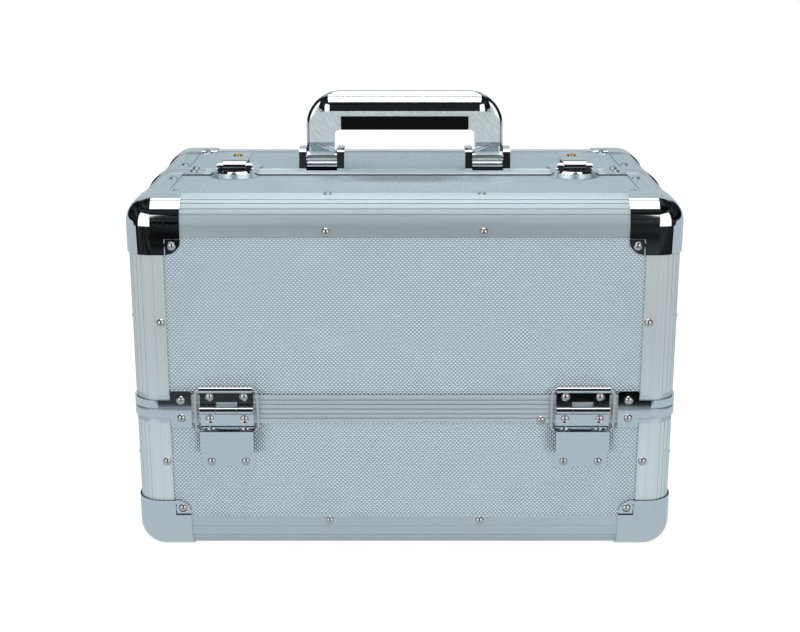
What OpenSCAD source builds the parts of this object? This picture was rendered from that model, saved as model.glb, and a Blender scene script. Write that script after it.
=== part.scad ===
// Hard-sided makeup train case: a box, two half lids that swing out on stay hinges,
// four cantilever trays, two key latches and a folding carry handle.
// Millimetres. Origin at the middle of the footprint on the floor, front faces -Y, up is +Z.

/* [Case body] */
// Outside width across the frame
case_w = 362; // [310:1:440]
// Outside depth across the frame
case_d = 221; // [208:1:270]
// Height of the top face above the floor
case_h = 248; // [228:1:300]
// Height of the line between box and lids
part_z = 106.5; // [88:0.5:128]
// Height of the frame above the floor
foot_h = 5; // [4:0.5:8]
// How far the seam between the lids lies in front of the middle
seam_off = 5; // [0:0.5:12]

/* [Frame extrusions] */
// Width of each leg of a corner extrusion
leg = 24.4; // [20:0.1:28]
// Outer radius of the corner extrusions
round_r = 17; // [13:0.5:19]
// Thickness of the leg that laps over a panel
skin = 1.3; // [1:0.1:2]
// Depth of the fine lengthwise grooves
groove_d = 0.45; // [0.2:0.05:0.8]
// Width of the fine lengthwise grooves
groove_w = 0.8; // [0.4:0.1:1.2]
// Height of the rim extrusions on both sides of the parting line
rim_h = 10; // [8:0.5:12]
// Width of the seam extrusion on the front lid
seam_w_front = 11; // [9:0.5:13]
// Width of the seam extrusion on the rear lid
seam_w_rear = 12; // [9:0.5:14]
// Height of the sealing tongue on the box rim
tongue_h = 2; // [1.2:0.1:2.4]
// Free gap between box and lids, and between the lids
gap = 0.4; // [0.3:0.05:0.8]

/* [Panels] */
// Thickness of the panel boards
board = 4; // [3:0.1:5]
// Thickness of the liner
liner_t = 1.7; // [1.2:0.1:3]

/* [Corner fittings] */
// Reach of a ball corner cap along each edge
cap_l = 36; // [31:0.5:40]
// Sheet thickness of caps and brackets
cap_t = 1.2; // [0.8:0.1:1.5]
// Radius of the rounded tab corners on the caps
cap_tab_r = 10; // [6:0.5:11]
// Reach of the small brackets round the corners
brk_l = 39; // [34:0.5:42]
// Height of the wrap-round band of a bracket
brk_band = 5.5; // [4:0.5:7]
// Radius of a rivet head
rivet_r = 2.9; // [2:0.1:3.2]
// Height of a rivet head
rivet_h = 1.5; // [1:0.1:1.8]
// Radius of a rubber foot
foot_r = 4.8; // [3.5:0.1:5]

/* [Stay hinges] */
// Distance of each hinge from the middle of the case
hinge_x = 118.5; // [90:0.5:124]
// Width of the hinge leaves
leaf_w = 35.5; // [30:0.5:40]
// Sheet thickness of the leaves
leaf_t = 1; // [0.8:0.1:1.2]
// Distance of the hinge axis in front of the frame
axis_off = 3; // [3:0.1:3.6]
// Outer radius of the knuckles
knuckle_r = 2.7; // [2.3:0.1:2.8]
// Radius of the hinge pin
hinge_pin_r = 1.3; // [1:0.1:1.5]
// Length of the middle knuckle
knuckle_mid = 13.6; // [10:0.2:16]
// Radius of the stay wire
wire_r = 1.1; // [0.9:0.05:1.2]
// Height of the stay wire's upper bar above the hinge axis
stay_up = 14.5; // [13.5:0.5:15]
// Length of the stay loop between its bars
stay_l = 29.5; // [28.5:0.5:30.5]
// Outside width of the stay loop
stay_w = 43.5; // [42.5:0.5:46]

/* [Latches] */
// Distance of each latch from the middle of the case
latch_x = 119.5; // [104:0.5:124]
// Radius of the round front plate
latch_r = 17.25; // [15:0.25:19]
// Thickness of the round front plate
latch_t = 3.6; // [2.5:0.1:4]
// Distance of the hasp axle in front of the seam
axle_fwd = 9; // [8.5:0.1:9.5]
// Height of the hasp axle above the lid
axle_up = 5; // [4.8:0.1:5.4]
// Width of the hasp and the lock housing
lever_w = 17.5; // [16:0.1:19]
// Reach of the lock housing behind the seam
lock_back = 27; // [25:0.5:30]
// Reach of the hasp behind the seam
hasp_over = 5.2; // [4.5:0.1:6]
// Radius of the key cylinder
key_r = 3.15; // [2.5:0.05:3.5]

/* [Handle] */
// Outside width of the handle
handle_w = 140; // [128:1:170]
// Height of the top of the handle above the lid
handle_h = 56; // [50:1:70]
// Width of a handle leg
handle_leg = 19.8; // [18:0.2:20.4]
// Half depth of the handle
handle_r = 10; // [9:0.25:10.5]
// Radius of the round rail along the outer edge of the handle
rail_r = 4; // [3:0.1:4.4]
// Height of the domed back of the hand bar
dome_h = 13; // [11:0.25:14]
// Height of the handle pivot above the lid
pivot_up = 8; // [7.8:0.1:9]
// Distance of the handle pivot behind the seam
pivot_back = 12; // [11.8:0.1:13]
// Width of a handle bracket
bracket_w = 32; // [31:0.2:36]
// Half length of the grip insert
grip_x = 45; // [40:1:49]
// Height of the grip insert
grip_h = 9.8; // [8:0.2:11]

/* [Trays] */
// Depth of each tray
tray_h = 36; // [28:1:38]
// Wall thickness of the trays
tray_t = 1.8; // [1.2:0.1:2.4]
// Width of the arm strips
arm_w = 10; // [8:0.5:11]
// Thickness of the arm strips
arm_t = 1.5; // [1:0.1:1.8]
// Lean of the arms when the case is shut
arm_lean = 33; // [28:1:34]
// Radius of the pivot studs
stud_r = 2; // [1.5:0.1:2.4]

/* [Output] */
// Which piece to draw

/* [Hidden] */
$fn = 64;
run_fit = 0.06;
joint = 0.1;
hw = case_w / 2;
hd = case_d / 2;
body_h = case_h - foot_h;
mid_z = (case_h + foot_h) / 2;
wall_in = skin + board;
inner = wall_in + liner_t;
web_t = tongue_h + 1.2;
seam_y = -seam_off;
pz_lo = part_z - gap / 2;
pz_hi = part_z + gap / 2;
tab_c = leg + (cap_l - leg) / 2;
cap_ramp = 1.6;
foot_c = leg + cap_ramp + foot_r + 0.2;
rivet_in = leg - rivet_r - 0.5;
brk_c = brk_l - 7;
lift_z = part_z + 10.5;
lean_z = part_z - 14.5;
arm_r1 = (lift_z + 4 - lean_z) / cos(arm_lean);
upper_z = lift_z + tray_h + 3;
arm_r2 = (upper_z + 6 - lean_z) / cos(arm_lean);
tray_x = hw - inner - 6;
tray_y0 = hd - 17.5;
tray_y1 = 9;
lead_y = hd - 26;
trail_y = tray_y1 + 5.5 + arm_r2 * sin(arm_lean);
arm_x = tray_x + 2.5;
stay_tilt = asin(2 / stay_l);
pivot_y = seam_y + pivot_back;
axle_y = seam_y - axle_fwd;
key_y = seam_y + 12;
handle_x = handle_w / 2 - handle_leg / 2 - 1.1;

// ---------- helpers ----------

// Box from its low corner to its high corner
module span(a, b) {
  translate(a) cube([b[0] - a[0], b[1] - a[1], b[2] - a[2]]);
}

// Copies mirrored left and right
module both_x() {
  children();
  mirror([1, 0, 0]) children();
}

// Copies mirrored front and back
module both_y() {
  children();
  mirror([0, 1, 0]) children();
}

// Flat rounded rectangle
module rrect(w, d, r) {
  square([w - 2 * r, d], center = true);
  square([w, d - 2 * r], center = true);
  for (x = [-1, 1], y = [-1, 1]) translate([x * (w / 2 - r), y * (d / 2 - r)]) circle(r);
}

// Level ring that follows the case outline, between two insets and two heights
module ring(in0, in1, z0, z1) {
  translate([0, 0, z0]) linear_extrude(z1 - z0) difference() {
    rrect(case_w - 2 * in0, case_d - 2 * in0, round_r - in0);
    rrect(case_w - 2 * in1, case_d - 2 * in1, round_r - in1);
  }
}

// Upright ring that follows the case outline from the front, between two insets and two depths
module arch_ring(in0, in1, y0, y1) {
  translate([0, y1, mid_z]) rotate([90, 0, 0]) linear_extrude(y1 - y0) difference() {
    rrect(case_w - 2 * in0, body_h - 2 * in0, round_r - in0);
    rrect(case_w - 2 * in1, body_h - 2 * in1, round_r - in1);
  }
}

// Rounded box at an inset from the frame surface
module soft_box(in) {
  translate([0, 0, mid_z]) intersection() {
    linear_extrude(body_h - 2 * in, center = true)
      rrect(case_w - 2 * in, case_d - 2 * in, round_r - in);
    rotate([90, 0, 0]) linear_extrude(case_d - 2 * in, center = true)
      rrect(case_w - 2 * in, body_h - 2 * in, round_r - in);
    rotate([90, 0, 90]) linear_extrude(case_w - 2 * in, center = true)
      rrect(case_d - 2 * in, body_h - 2 * in, round_r - in);
  }
}

// Section of a corner extrusion, corner at the origin
module rail_section() {
  difference() {
    union() {
      intersection() {
        square(round_r);
        translate([round_r, round_r]) difference() {
          circle(round_r);
          circle(round_r - wall_in);
        }
      }
      translate([round_r, 0]) square([leg - round_r, skin]);
      translate([0, round_r]) square([skin, leg - round_r]);
    }
    for (a = [25, 38, 52, 65]) translate([round_r, round_r]) rotate(180 + a)
      translate([round_r - groove_d, -groove_w / 2]) square([2, groove_w]);
    translate([round_r + 0.3, -1]) square([groove_w / 2, 1 + groove_d / 2]);
    translate([-1, round_r + 0.3]) square([1 + groove_d / 2, groove_w / 2]);
  }
}

// Extrusion along the front lower edge, between two x values
module rail_x(x0, x1) {
  translate([x0, -hd, foot_h]) rotate([90, 0, 90]) linear_extrude(x1 - x0) rail_section();
}

// Extrusion along the left lower edge, between two y values
module rail_y(y0, y1) {
  translate([-hw, y1, foot_h]) rotate([90, 0, 0]) linear_extrude(y1 - y0) rail_section();
}

// Upright extrusion at the front left corner, between two heights
module post(z0, z1) {
  translate([-hw, -hd, z0]) linear_extrude(z1 - z0) rail_section();
}

// Turns a piece made for the lower edge over to the upper edge
module to_top() {
  translate([0, 0, case_h + foot_h]) mirror([0, 0, 1]) children();
}

// Rivet head pointing up
module rivet(r = rivet_r) {
  ball = (r * r + rivet_h * rivet_h) / (2 * rivet_h);
  intersection() {
    cylinder(r = r, h = rivet_h + 1);
    translate([0, 0, rivet_h - ball]) sphere(ball);
  }
}

// Rivet heads on the front face at height out from the frame surface
module rivet_front(x, z, out = 0) {
  translate([x, -hd - out, z]) rotate([90, 0, 0]) rivet();
}

// Rivet heads on the left face
module rivet_left(y, z, out = 0) {
  translate([-hw - out, y, z]) rotate([0, -90, 0]) rivet();
}

// Rivet heads on the top face
module rivet_top(x, y, out = 0) {
  translate([x, y, case_h + out]) rivet();
}

// Solid rounded corner grown outward by g, corner at the origin, reaching to l
module corner_solid(g, l) {
  r = round_r;
  span([-g, r, r], [l, l, l]);
  span([r, -g, r], [l, l, l]);
  span([r, r, -g], [l, l, l]);
  translate([r, r, r]) cylinder(r = r + g, h = l - r);
  translate([r, r, r]) rotate([0, 90, 0]) cylinder(r = r + g, h = l - r);
  translate([r, r, r]) rotate([-90, 0, 0]) cylinder(r = r + g, h = l - r);
  translate([r, r, r]) sphere(r + g);
}

// The sunk tab square of a cap on its bottom face, with sloped steps along two sides
module cap_tab() {
  a = leg;
  b = a + cap_ramp;
  span([a, a, skin - cap_t], [cap_l, cap_l, skin]);
  step = [[a, -cap_t], [a + 0.5, -cap_t], [b, skin - cap_t], [b, skin], [a, skin]];
  translate([0, cap_l, 0]) rotate([90, 0, 0]) linear_extrude(cap_l - a) polygon(step);
  translate([a, 0, 0]) rotate([90, 0, 90]) linear_extrude(cap_l - a) polygon(step);
}

// Cutter that rounds the free corner of a tab on the bottom face
module tab_round() {
  c = cap_l - cap_tab_r;
  translate([0, 0, -cap_t - 1]) linear_extrude(cap_t + skin + 2) difference() {
    translate([c, c]) square(cap_tab_r + 1);
    translate([c, c]) circle(cap_tab_r);
  }
}

// Moves a shape made for the bottom face of a corner to all three faces
module three_faces() {
  children();
  rotate([0, 90, 0]) rotate([0, 0, 90]) children();
  rotate([0, 0, -90]) rotate([0, -90, 0]) children();
}

// Ball corner cap, corner of the frame at the origin
module ball_cap() {
  a = leg + cap_t;
  difference() {
    union() {
      difference() {
        intersection() {
          corner_solid(cap_t, cap_l);
          span([-cap_t - 1, -cap_t - 1, -cap_t - 1], [cap_l, cap_l, cap_l]);
        }
        corner_solid(0, cap_l + 2);
        three_faces() span([a, a, -cap_t - 1], [cap_l + 1, cap_l + 1, 1]);
      }
      three_faces() cap_tab();
    }
    three_faces() tab_round();
  }
}

// Outline strip round a front left upright corner, corner at the origin
module corner_strip(reach) {
  intersection() {
    translate([hw, hd]) difference() {
      rrect(case_w + 2 * cap_t, case_d + 2 * cap_t, round_r + cap_t);
      rrect(case_w, case_d, round_r);
    }
    translate([-9, -9]) square(reach + 9);
  }
}

// Prisms that round the upper corners of a bracket tab, seen from the front
module tab_trim(h) {
  r = 1.8;
  translate([0, 9, 0]) rotate([90, 0, 0]) linear_extrude(20) {
    difference() {
      translate([brk_l - r, h - r]) square(r + 1);
      translate([brk_l - r, h - r]) circle(r);
    }
    difference() {
      translate([brk_l - 15, h - r]) square([r + 1, r + 1]);
      translate([brk_l - 14 + r, h - r]) circle(r);
    }
  }
}

// Bracket wrapped round an upright corner: a low band and two taller tabs
module wrap_bracket(h) {
  linear_extrude(brk_band) corner_strip(brk_l);
  difference() {
    linear_extrude(h) difference() {
      corner_strip(brk_l);
      translate([-9, -9]) square(brk_l - 14 + 9);
    }
    tab_trim(h);
    rotate([0, 0, 90]) mirror([0, 1, 0]) tab_trim(h);
  }
}

// Bracket wrapped round the upper left edge beside the seam, band at the seam
module seam_bracket(h) {
  translate([-hw, 0, case_h]) rotate([90, 0, 0]) mirror([0, 1, 0]) {
    linear_extrude(brk_band) seam_strip();
    linear_extrude(h) difference() {
      seam_strip();
      translate([-9, -9]) square(brk_l - 14 + 9);
    }
  }
}

// Outline strip round an upper edge, edge at the origin
module seam_strip() {
  intersection() {
    translate([hw, body_h / 2]) difference() {
      rrect(case_w + 2 * cap_t, body_h + 2 * cap_t, round_r + cap_t);
      rrect(case_w, body_h, round_r);
    }
    translate([-9, -9]) square(brk_l + 9);
  }
}

// ---------- the box ----------

module base_floor_panel() color("#9aa0a4") {
  span([round_r - hw, round_r - hd, foot_h + skin], [hw - round_r, hd - round_r, foot_h + wall_in]);
}

module base_wall_panels() color("#c9ced2") {
  both_y() span([round_r - hw, -hd + skin, foot_h + round_r],
    [hw - round_r, -hd + wall_in, pz_lo - web_t]);
  both_x() span([-hw + skin, round_r - hd, foot_h + round_r],
    [-hw + wall_in, hd - round_r, pz_lo - web_t]);
}

module base_bottom_rails() color("#b8bdc2") {
  both_y() rail_x(round_r - hw, hw - round_r);
  both_x() rail_y(leg + joint - hd, hd - leg - joint);
}

module base_posts() color("#b8bdc2") {
  both_x() both_y() post(foot_h + leg, part_z - rim_h);
}

module base_rim() color("#c2c7cc") {
  difference() {
    union() {
      ring(0, skin, part_z - rim_h, pz_lo);
      ring(wall_in, inner, part_z - rim_h, pz_lo);
      ring(0, inner, pz_lo - web_t, pz_lo);
      ring(2.6, 4, pz_lo - web_t, pz_lo + tongue_h);
    }
    for (z = [3.3, 6.4]) ring(-1, groove_d, part_z - z - groove_w / 2, part_z - z + groove_w / 2);
  }
}

module base_liner() color("#2b2b2d") {
  intersection() {
    difference() {
      soft_box(wall_in);
      soft_box(inner);
    }
    span([-hw, -hd, 0], [hw, hd, part_z - rim_h]);
  }
}

module base_corner_caps() color("#e6e8ea") {
  both_x() both_y() translate([-hw, -hd, foot_h]) ball_cap();
}

module base_brackets() color("#e0e3e6") {
  both_x() both_y() translate([-hw, -hd, part_z - 0.8]) mirror([0, 0, 1]) wrap_bracket(rim_h + 2);
}

module base_rivets() color("#f0f0f0") {
  tab = cap_t - skin;
  both_x() both_y() {
    rivet_front(-51, foot_h + rivet_in);
    rivet_front(rivet_in - hw, 69);
    rivet_front(tab_c - hw, foot_h + tab_c, tab);
    rivet_front(brk_c - hw, part_z - 6.2, cap_t);
    rivet_left(-32, foot_h + rivet_in);
    rivet_left(rivet_in - hd, 69);
    rivet_left(tab_c - hd, foot_h + tab_c, tab);
    rivet_left(brk_c - hd, part_z - 6.2, cap_t);
    for (s = [-1, 1]) {
      translate([hinge_x + s * 11.5, -hd - leaf_t, part_z - 6.7]) rotate([90, 0, 0]) rivet();
      translate([hinge_x + s * 11.5, -hd + skin - leaf_t, 69]) rotate([90, 0, 0]) rivet();
    }
  }
}

module base_pop_rivet() color("#d0d3d6") {
  difference() {
    rivet_front(91, part_z - 8);
    translate([91, -hd + 1, part_z - 8]) rotate([90, 0, 0]) cylinder(r = 1, h = 5);
  }
}

module feet() color("#1a1a1a") {
  both_x() both_y() translate([foot_c - hw, foot_c - hd, 0])
    cylinder(r = foot_r, h = foot_h + skin - cap_t);
}

// ---------- stay hinges ----------

// Side outline of the lower hinge leaf with its raised channel: out from the frame, up from the axis
tongue_outline = [[0, -3.2], [0, -12.2], [5.6, -14.6], [5.6, -28], [-skin, -30.7], [-skin, -42.5],
  [leaf_t - skin, -42.5], [leaf_t - skin, -31.4], [5.6 + leaf_t, -28.7], [5.6 + leaf_t, -13.9],
  [leaf_t, -11.5], [leaf_t, -3.2]];

// Places a hinge piece at the front right hinge: X across, Y out of the face, Z up from the axis
module at_hinge() {
  translate([hinge_x, -hd, part_z]) mirror([0, 1, 0]) children();
}

// Bar along X through the hinge axis
module axis_bar(r, x0, x1, out = axis_off, up = 0) {
  translate([x0, out, up]) rotate([0, 90, 0]) cylinder(r = r, h = x1 - x0);
}

module stay_tongue() {
  at_hinge() difference() {
    union() {
      rotate([90, 0, 90]) linear_extrude(leaf_w, center = true) polygon(tongue_outline);
      axis_bar(knuckle_r, -knuckle_mid / 2, knuckle_mid / 2);
      span([-knuckle_mid / 2, 0, -4], [knuckle_mid / 2, leaf_t, 0]);
      span([-knuckle_mid / 2, 0.2, -3.4], [knuckle_mid / 2, axis_off, -1.4]);
    }
    axis_bar(hinge_pin_r, -leaf_w, leaf_w);
    translate([0, -5, -53]) rotate([-90, 0, 0]) cylinder(r = 12.2, h = 9);
    for (s = [0, 1]) mirror([s, 0, 0]) translate([leaf_w / 2 - 2.5, 9, -40]) rotate([90, 0, 0])
      linear_extrude(14) difference() {
        translate([0, -9]) square([9, 9]);
        circle(2.5);
      }
  }
}

module stay_tongues() color("#dfe3e6") {
  both_x() both_y() stay_tongue();
}

module hinge_pins() color("#c0c4c8") {
  both_x() both_y() at_hinge() axis_bar(hinge_pin_r, -leaf_w / 2, leaf_w / 2);
}

// Upper hinge leaf with two knuckles and a curled top edge
module hinge_leaf() {
  half = leaf_w / 2;
  free = knuckle_mid / 2 + 0.3;
  at_hinge() difference() {
    union() {
      span([-half, 0, 3.2], [half, leaf_t, stay_up]);
      span([-half, 0.6, stay_up - 2.4], [half, axis_off, stay_up - 1.2]);
      axis_bar(wire_r + 1.05, -half, half, axis_off, stay_up);
      for (s = [-1, 1]) {
        x0 = s > 0 ? free : -half;
        x1 = s > 0 ? half : -free;
        axis_bar(knuckle_r, x0, x1);
        span([x0, 0, 0], [x1, leaf_t, 3.3]);
        span([x0, 0.2, 1.4], [x1, axis_off, 3.4]);
      }
    }
    axis_bar(hinge_pin_r + run_fit, -leaf_w, leaf_w);
    axis_bar(wire_r + run_fit, -leaf_w, leaf_w, axis_off, stay_up);
    span([-free, -1, 0], [free, 9, 5.2]);
  }
}

module front_hinge_leaves() color("#dfe3e6") {
  both_x() hinge_leaf();
}

module rear_hinge_leaves() color("#dfe3e6") {
  mirror([0, 1, 0]) both_x() hinge_leaf();
}

// Closed wire loop hanging from its upper bar, bar at the origin
module stay_loop() {
  w = stay_w / 2 - wire_r;
  b = 3.5;
  at_hinge() translate([0, axis_off, stay_up]) rotate([-stay_tilt, 0, 0]) {
    axis_bar(wire_r, -w + b, w - b, 0, 0);
    axis_bar(wire_r, -w + b, w - b, 0, -stay_l);
    for (s = [0, 1]) mirror([s, 0, 0]) {
      translate([w, 0, b - stay_l]) cylinder(r = wire_r, h = stay_l - 2 * b);
      translate([w - b, 0, -b]) rotate([90, 0, 0]) rotate_extrude(angle = 90)
        translate([b, 0]) circle(wire_r);
      translate([w - b, 0, b - stay_l]) rotate([90, 0, 0]) rotate_extrude(angle = -90)
        translate([b, 0]) circle(wire_r);
    }
  }
}

module stay_loop_front_right() color("#d4d7da") stay_loop();

module stay_loop_front_left() color("#d4d7da") mirror([1, 0, 0]) stay_loop();

module stay_loop_rear_right() color("#d4d7da") mirror([0, 1, 0]) stay_loop();

module stay_loop_rear_left() color("#d4d7da") mirror([0, 1, 0]) mirror([1, 0, 0]) stay_loop();

// ---------- half lids, drawn for the front and mirrored for the rear ----------

module lid_wall_panels(seam) {
  top = case_h - round_r;
  low = pz_hi + web_t;
  span([round_r - hw, -hd + skin, low], [hw - round_r, -hd + wall_in, top]);
  both_x() span([-hw + skin, round_r - hd, low], [-hw + wall_in, seam - gap / 2 - skin, top]);
}

module lid_top_panel(seam) {
  span([round_r - hw, round_r - hd, case_h - wall_in],
    [hw - round_r, seam - gap / 2 - skin, case_h - skin]);
}

module lid_top_rails(seam, w) {
  to_top() rail_x(round_r - hw, hw - round_r);
  both_x() to_top() rail_y(leg + joint - hd, seam - gap / 2 - w);
}

module lid_posts() {
  both_x() post(part_z + rim_h, case_h - leg);
}

module lid_rim(seam) {
  intersection() {
    difference() {
      union() {
        ring(0, skin, pz_hi, part_z + rim_h);
        ring(wall_in, inner, pz_hi, part_z + rim_h);
        ring(0, inner, pz_hi, pz_hi + web_t);
      }
      ring(2, 4.6, pz_hi - 1, pz_lo + tongue_h + 0.5);
      for (z = [3.3, 6.4])
        ring(-1, groove_d, part_z + z - groove_w / 2, part_z + z + groove_w / 2);
    }
    span([-case_w, -case_d, 0], [case_w, seam - gap / 2, case_h]);
  }
}

module lid_seam_rim(seam, w) {
  y1 = seam - gap / 2;
  intersection() {
    difference() {
      union() {
        arch_ring(0, skin, y1 - w, y1);
        arch_ring(wall_in, inner, y1 - w, y1);
        arch_ring(0, inner, y1 - skin, y1);
      }
      arch_ring(-1, groove_d, y1 - 4.4, y1 - 4.4 + groove_w);
    }
    span([-case_w, -case_d, part_z + rim_h], [case_w, case_d, case_h + 1]);
  }
}

module lid_liner(seam, w) {
  intersection() {
    difference() {
      soft_box(wall_in);
      soft_box(inner);
    }
    span([-hw, -hd, part_z + rim_h], [hw, seam - gap / 2 - w, case_h]);
  }
}

module lid_caps() {
  both_x() to_top() translate([-hw, -hd, foot_h]) ball_cap();
}

module lid_brackets(seam) {
  both_x() {
    translate([-hw, -hd, part_z + 0.8]) wrap_bracket(rim_h + 2);
    translate([0, seam - gap / 2 - 0.4, 0]) seam_bracket(9.5);
  }
}

module lid_rivets(seam) {
  tab = cap_t - skin;
  y_seam = seam - gap / 2 - 6.4;
  both_x() {
    rivet_front(-51, case_h - rivet_in);
    rivet_front(rivet_in - hw, 166);
    rivet_front(tab_c - hw, case_h - tab_c, tab);
    rivet_front(brk_c - hw, part_z + 6.5, cap_t);
    rivet_left(seam - 28, case_h - rivet_in);
    rivet_left(rivet_in - hd, 166);
    rivet_left(tab_c - hd, case_h - tab_c, tab);
    rivet_left(brk_c - hd, part_z + 6.5, cap_t);
    rivet_left(y_seam, case_h - brk_c, cap_t);
    rivet_left(y_seam, part_z + 22);
    rivet_top(brk_c - hw, y_seam, cap_t);
    rivet_top(rivet_in - hw, seam - 28);
    rivet_top(-50.5, rivet_in - hd);
    rivet_top(tab_c - hw, tab_c - hd, tab);
    for (s = [-1, 1]) translate([hinge_x + s * 11.5, -hd - leaf_t, part_z + 8.8])
      rotate([90, 0, 0]) rivet();
  }
}

module front_wall_panels() color("#c9ced2") lid_wall_panels(seam_y);

module front_top_panel() color("#c9ced2") lid_top_panel(seam_y);

module front_top_rails() color("#b8bdc2") lid_top_rails(seam_y, seam_w_front);

module front_posts() color("#b8bdc2") lid_posts();

module front_rim() color("#c2c7cc") lid_rim(seam_y);

module front_seam_rim() color("#c2c7cc") lid_seam_rim(seam_y, seam_w_front);

module front_liner() color("#2b2b2d") lid_liner(seam_y, seam_w_front);

module front_corner_caps() color("#e6e8ea") lid_caps();

module front_brackets() color("#e0e3e6") lid_brackets(seam_y);

module front_rivets() color("#f0f0f0") lid_rivets(seam_y);

module rear_wall_panels() color("#c9ced2") mirror([0, 1, 0]) lid_wall_panels(-seam_y);

module rear_top_panel() color("#c9ced2") mirror([0, 1, 0]) lid_top_panel(-seam_y);

module rear_top_rails() color("#b8bdc2") mirror([0, 1, 0]) lid_top_rails(-seam_y, seam_w_rear);

module rear_posts() color("#b8bdc2") mirror([0, 1, 0]) lid_posts();

module rear_rim() color("#c2c7cc") mirror([0, 1, 0]) lid_rim(-seam_y);

module rear_seam_rim() color("#c2c7cc") mirror([0, 1, 0]) lid_seam_rim(-seam_y, seam_w_rear);

module rear_liner() color("#2b2b2d") mirror([0, 1, 0]) lid_liner(-seam_y, seam_w_rear);

module rear_corner_caps() color("#e6e8ea") mirror([0, 1, 0]) lid_caps();

module rear_brackets() color("#e0e3e6") mirror([0, 1, 0]) lid_brackets(-seam_y);

module rear_rivets() color("#f0f0f0") mirror([0, 1, 0]) lid_rivets(-seam_y);

// ---------- latches ----------

// Half-round plate with a slot for the hasp barrel and two lugs
module latch_plate() {
  top = case_h + latch_t;
  lip = seam_y - gap / 2 - seam_w_front - 0.1;
  edge = seam_y - 0.6;
  slot = lever_w / 2 - 0.35;
  translate([latch_x, 0, 0]) difference() {
    union() {
      intersection() {
        translate([0, axle_y + 0.6, case_h]) {
          cylinder(r = latch_r, h = latch_t - 1.2);
          translate([0, 0, latch_t - 1.2]) cylinder(r1 = latch_r, r2 = latch_r - 1.6, h = 1.2);
        }
        span([-99, -case_d, 0], [99, edge, case_h + 99]);
      }
      intersection() {
        translate([0, axle_y + 0.6, case_h - skin]) cylinder(r = latch_r, h = skin);
        span([-99, -case_d, 0], [99, lip, case_h + 99]);
      }
      for (s = [-1, 1]) translate([s * (slot + 1.6), axle_y, case_h]) {
        span([-1.6, -2.9, 1], [1.6, 2.9, axle_up]);
        translate([-1.6, 0, axle_up]) rotate([0, 90, 0]) cylinder(r = 2.9, h = 3.2);
      }
    }
    span([-slot, axle_y - 5.3, case_h - 5], [slot, 99, case_h + 99]);
    translate([-99, axle_y, case_h + axle_up]) rotate([0, 90, 0]) cylinder(r = 1.5, h = 198);
    for (s = [0, 1]) mirror([s, 0, 0]) translate([slot + 3.2, axle_y, case_h + axle_up])
      rotate([0, 90, 0]) cylinder(r = 2.5, h = 1);
  }
}

module latch_plates() color("#e3e6e8") both_x() latch_plate();

module latch_axle() {
  slot = lever_w / 2 - 0.35;
  translate([latch_x, axle_y, case_h + axle_up]) rotate([0, 90, 0]) {
    cylinder(r = 1.5, h = 2 * slot + 6.4, center = true);
    for (s = [0, 1]) mirror([0, 0, s]) translate([0, 0, slot + 3.2]) cylinder(r = 2.4, h = 0.8);
  }
}

module latch_axles() color("#c8ccd0") both_x() latch_axle();

// Hasp: barrel on the axle, plate over the seam and a lip that drops into the lock
module latch_hasp() {
  half = lever_w / 2;
  low = case_h + axle_up + 3.3;
  tip = seam_y + hasp_over;
  translate([latch_x, 0, 0]) difference() {
    union() {
      translate([0, axle_y, case_h + axle_up]) rotate([0, 90, 0])
        cylinder(r = 4.5, h = lever_w - 1.7, center = true);
      span([-half, axle_y, low], [half, tip, low + 1.5]);
      span([1 - half, tip - 1.3, low - 1.7], [half - 1, tip, low + 0.5]);
    }
    translate([-99, axle_y, case_h + axle_up]) rotate([0, 90, 0])
      cylinder(r = 1.5 + run_fit, h = 198);
  }
}

module latch_hasp_right() color("#e3e6e8") latch_hasp();

module latch_hasp_left() color("#e3e6e8") mirror([1, 0, 0]) latch_hasp();

// Brass cylinder with keyway, retaining flange and cam
module key_cylinder() {
  low = axle_up + 3.3;
  translate([latch_x, key_y, case_h]) difference() {
    union() {
      translate([0, 0, low - 3]) cylinder(r = key_r, h = 5.1);
      translate([0, 0, low - 1.6]) cylinder(r = key_r + 1, h = 1.4);
      span([-key_r - 3.6, -1.5, low - 3], [0, 1.5, low - 1.6]);
    }
    span([-2, -0.45, low + 0.6], [2, 0.45, low + 9]);
  }
}

module key_cylinder_right() color("#d9b64a") key_cylinder();

module key_cylinder_left() color("#d9b64a") mirror([1, 0, 0]) key_cylinder();

// Lock housing on its pointed plate, hollow for the key cam, with the hasp lip at its mouth
module latch_lock() {
  lip = seam_y + gap / 2 + seam_w_rear + 0.1;
  y1 = seam_y + 30;
  half = lever_w / 2;
  roof = axle_up + 3.3;
  back = seam_y + lock_back;
  mouth = seam_y + hasp_over + 0.4;
  pts = [[-15, mouth], [15, mouth], [17.5, seam_y + 15], [9.5, y1], [-9.5, y1], [-17.5, seam_y + 15]];
  side = [[mouth, 0], [mouth, roof + 1.5], [back - 2.5, roof + 1.5], [back, roof - 1], [back, 0]];
  translate([latch_x, 0, case_h]) difference() {
    union() {
      linear_extrude(1.6) polygon(pts);
      intersection() {
        translate([0, 0, -skin]) linear_extrude(skin + 0.1) polygon(pts);
        span([-99, lip, -9], [99, y1, 9]);
      }
      rotate([90, 0, 90]) linear_extrude(2 * half, center = true) polygon(side);
    }
    span([1.2 - half, mouth + 1.2, 1.6], [half - 1.2, back - 1.4, roof]);
    translate([0, key_y, 5]) cylinder(r = key_r + run_fit, h = 20);
  }
}

module latch_locks() color("#e3e6e8") both_x() latch_lock();

// ---------- handle ----------

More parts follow.
